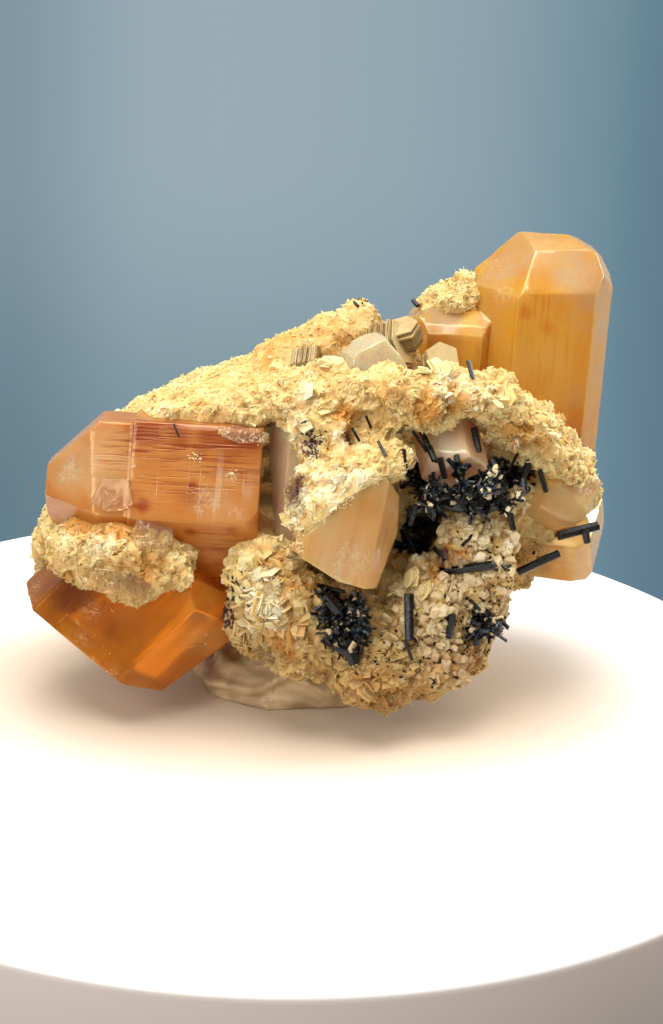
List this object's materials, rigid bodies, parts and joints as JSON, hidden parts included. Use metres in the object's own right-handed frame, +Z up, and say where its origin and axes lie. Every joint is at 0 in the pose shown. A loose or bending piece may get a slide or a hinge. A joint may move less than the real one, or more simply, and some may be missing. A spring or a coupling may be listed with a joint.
{
  "type": "topaz crystal",
  "caption": "Orange topaz crystals with smoky quartz, mica and black tourmaline in pale rock, standing on a pad of display putty.",
  "frame": {"origin": "on the putty's flat underside, below the middle of the specimen's front view", "axes": "+Z up, +X to the right and +Y away from the side that the picture shows"},
  "size_m": [0.0667, 0.042, 0.0533],
  "materials": {
    "rock": "rough crust of cream mica flakes and albite grains",
    "topaz": "see-through honey orange with glossy faces",
    "pale_topaz": "see-through pale peach with fine growth lines",
    "smoky_quartz": "dark brown glass with fine cross lines",
    "clear_quartz": "colourless glass",
    "mica": "pearly olive-brown sheets seen edge on",
    "tourmaline": "glossy black",
    "putty": "matt beige-grey putty"
  },
  "bodies": {
    "root": {"matrix_rock": "rock", "topaz_tall": "topaz", "topaz_striated": "topaz", "topaz_lower": "topaz", "topaz_right": "topaz", "topaz_centre": "pale_topaz", "topaz_pink": "pale_topaz", "smoky_quartz": "smoky_quartz", "quartz_clear": "clear_quartz", "mica_book_top": "mica", "mica_book_middle": "mica", "mica_book_small": "mica", "tourmaline_upper": "tourmaline", "tourmaline_lower": "tourmaline", "tourmaline_right": "tourmaline", "needle_long": "tourmaline", "needle_upright": "tourmaline", "needle_right": "tourmaline", "needle_edge": "tourmaline", "needle_rim": "tourmaline", "display_putty": "putty"}
  },
  "joints": []
}
